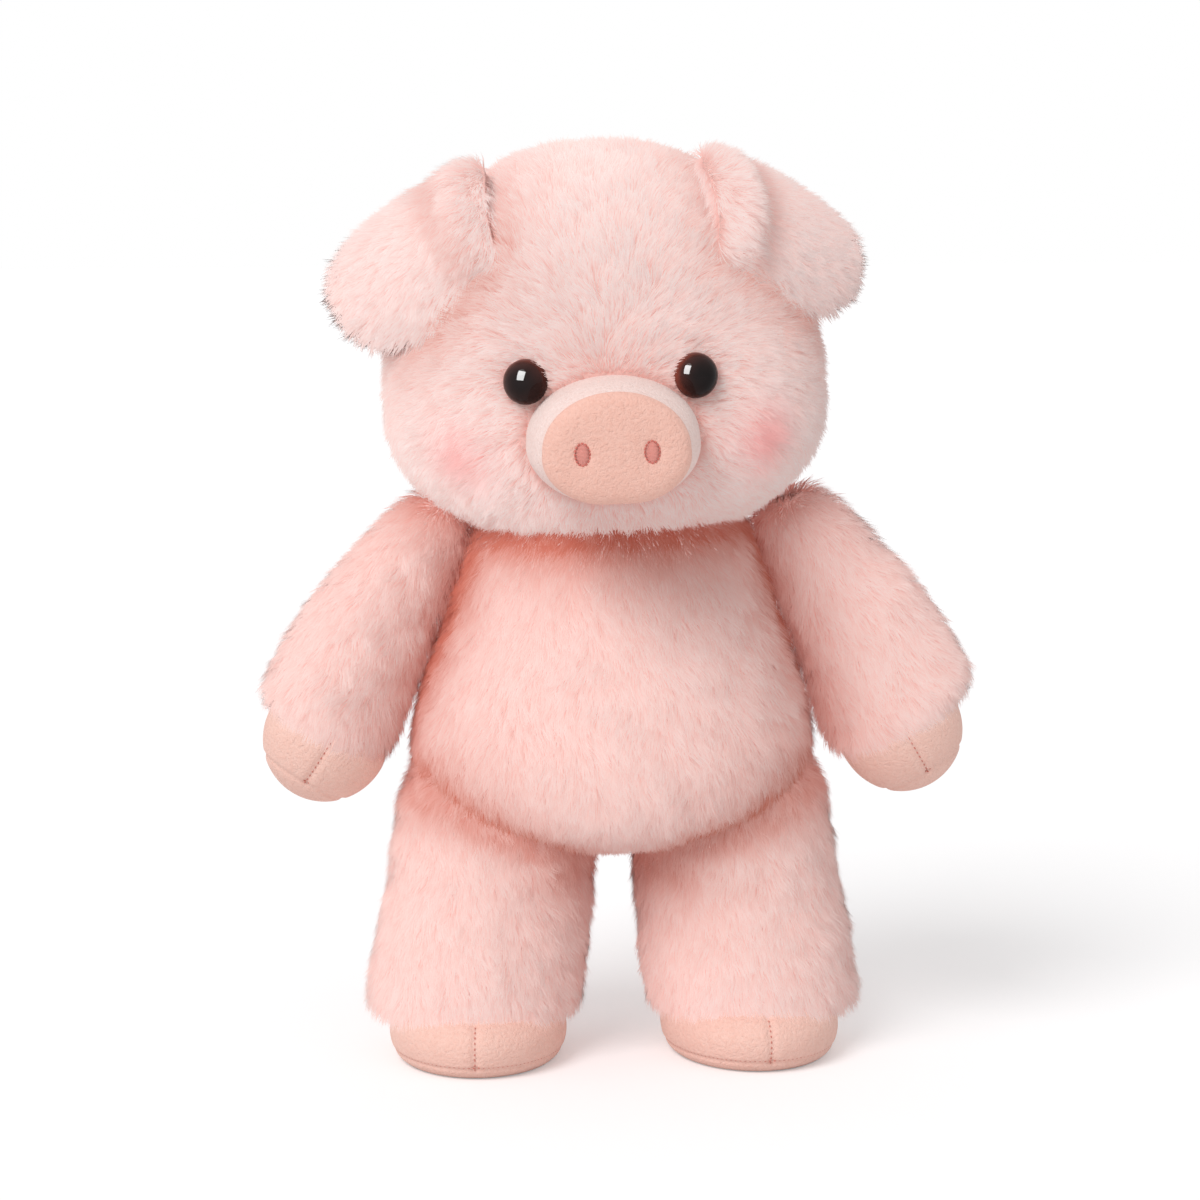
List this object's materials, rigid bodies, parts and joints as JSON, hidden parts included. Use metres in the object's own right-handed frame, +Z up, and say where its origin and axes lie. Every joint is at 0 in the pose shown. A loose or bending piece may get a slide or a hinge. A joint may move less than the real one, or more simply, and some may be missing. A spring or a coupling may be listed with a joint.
{
  "type": "plush pig",
  "caption": "Stuffed pig that stands upright, with fur skins over stuffing, short-nap snout and hooves, safety eyes, and a head, arms, legs and ears that bend at their sewn joints.",
  "frame": {"origin": "on the floor, under the middle of the part's bounding box", "axes": "+Z up; the pig faces -Y and its own left side is at +X"},
  "size_m": [0.2472, 0.146, 0.3204],
  "materials": {
    "fur": "pale pink pile cloth, long soft pile",
    "ear_fur": "paler pink pile cloth",
    "hoof_nap": "peach short-nap cloth",
    "snout_nap": "peach short-nap cloth, slightly deeper",
    "band_nap": "pale pink short-nap cloth",
    "nostril_thread": "dusky pink embroidery",
    "thread": "salmon sewing thread",
    "stuffing": "white polyester fibre",
    "eye_plastic": "near black, polished",
    "washer_plastic": "white",
    "sole_board": "cream, stiff",
    "pellet_bag": "closed cloth bag of plastic pellets"
  },
  "bodies": {
    "torso": {"torso_fur": "fur", "torso_back_seam": "thread", "torso_filling": "stuffing"},
    "neck": {"neck_seam": "thread"},
    "head": {"head_fur": "fur", "head_filling": "stuffing", "left_eye": "eye_plastic", "left_eye_washer": "washer_plastic", "right_eye": "eye_plastic", "right_eye_washer": "washer_plastic", "snout_band": "band_nap", "snout_face": "snout_nap", "snout_filling": "stuffing", "left_nostril": "nostril_thread", "right_nostril": "nostril_thread"},
    "left_ear": {"left_ear_outer": "ear_fur", "left_ear_inner": "ear_fur"},
    "left_shoulder": {"left_shoulder_seam": "thread"},
    "left_arm": {"left_arm_fur": "fur", "left_arm_filling": "stuffing", "left_hand_toe_inner": "hoof_nap", "left_hand_toe_outer": "hoof_nap", "left_hand_sole": "hoof_nap", "left_hand_filling": "stuffing"},
    "left_leg": {"left_leg_fur": "fur", "left_leg_filling": "stuffing", "left_foot_toe_inner": "hoof_nap", "left_foot_toe_outer": "hoof_nap", "left_foot_sole": "hoof_nap", "left_foot_board": "sole_board", "left_foot_pellets": "pellet_bag"},
    "right_ear": {"right_ear_outer": "ear_fur", "right_ear_inner": "ear_fur"},
    "right_shoulder": {"right_shoulder_seam": "thread"},
    "right_arm": {"right_arm_fur": "fur", "right_arm_filling": "stuffing", "right_hand_toe_inner": "hoof_nap", "right_hand_toe_outer": "hoof_nap", "right_hand_sole": "hoof_nap", "right_hand_filling": "stuffing"},
    "right_leg": {"right_leg_fur": "fur", "right_leg_filling": "stuffing", "right_foot_toe_inner": "hoof_nap", "right_foot_toe_outer": "hoof_nap", "right_foot_sole": "hoof_nap", "right_foot_board": "sole_board", "right_foot_pellets": "pellet_bag"}
  },
  "joints": [
    {"name": "head_turn", "type": "hinge", "parent": "torso", "child": "neck", "pos_m": [0, 0.013, 0.193], "axis": [0, 0, 1], "range_deg": [-15, 15], "stiffness_Nm_per_rad": 0.6},
    {"name": "head_nod", "type": "hinge", "parent": "neck", "child": "head", "pos_m": [0, 0.013, 0.193], "axis": [1, 0, 0], "range_deg": [-8, 6], "stiffness_Nm_per_rad": 1.2},
    {"name": "left_arm_swing", "type": "hinge", "parent": "torso", "child": "left_shoulder", "pos_m": [0.057, 0.013, 0.1735], "axis": [-1, 0, 0], "range_deg": [-25, 50], "stiffness_Nm_per_rad": 0.25},
    {"name": "left_arm_raise", "type": "hinge", "parent": "left_shoulder", "child": "left_arm", "pos_m": [0.057, 0.013, 0.1735], "axis": [0, -1, 0], "range_deg": [0, 30], "stiffness_Nm_per_rad": 0.25},
    {"name": "left_leg_swing", "type": "hinge", "parent": "torso", "child": "left_leg", "pos_m": [0.041, 0.013, 0.084], "axis": [-1, 0, 0], "range_deg": [-15, 25], "stiffness_Nm_per_rad": 3},
    {"name": "right_arm_swing", "type": "hinge", "parent": "torso", "child": "right_shoulder", "pos_m": [-0.057, 0.013, 0.1735], "axis": [-1, 0, 0], "range_deg": [-25, 50], "stiffness_Nm_per_rad": 0.25},
    {"name": "right_arm_raise", "type": "hinge", "parent": "right_shoulder", "child": "right_arm", "pos_m": [-0.057, 0.013, 0.1735], "axis": [0, 1, 0], "range_deg": [0, 30], "stiffness_Nm_per_rad": 0.25},
    {"name": "right_leg_swing", "type": "hinge", "parent": "torso", "child": "right_leg", "pos_m": [-0.041, 0.013, 0.084], "axis": [-1, 0, 0], "range_deg": [-15, 25], "stiffness_Nm_per_rad": 3},
    {"name": "left_ear_lift", "type": "hinge", "parent": "head", "child": "left_ear", "pos_m": [0.03452, -0.01653, 0.30031], "axis": [0.0461, -0.6592, -0.7506], "range_deg": [0, 30], "stiffness_Nm_per_rad": 0.04},
    {"name": "right_ear_lift", "type": "hinge", "parent": "head", "child": "right_ear", "pos_m": [-0.04436, -0.01309, 0.29756], "axis": [-0.2687, 0.6714, 0.6907], "range_deg": [0, 30], "stiffness_Nm_per_rad": 0.04}
  ]
}
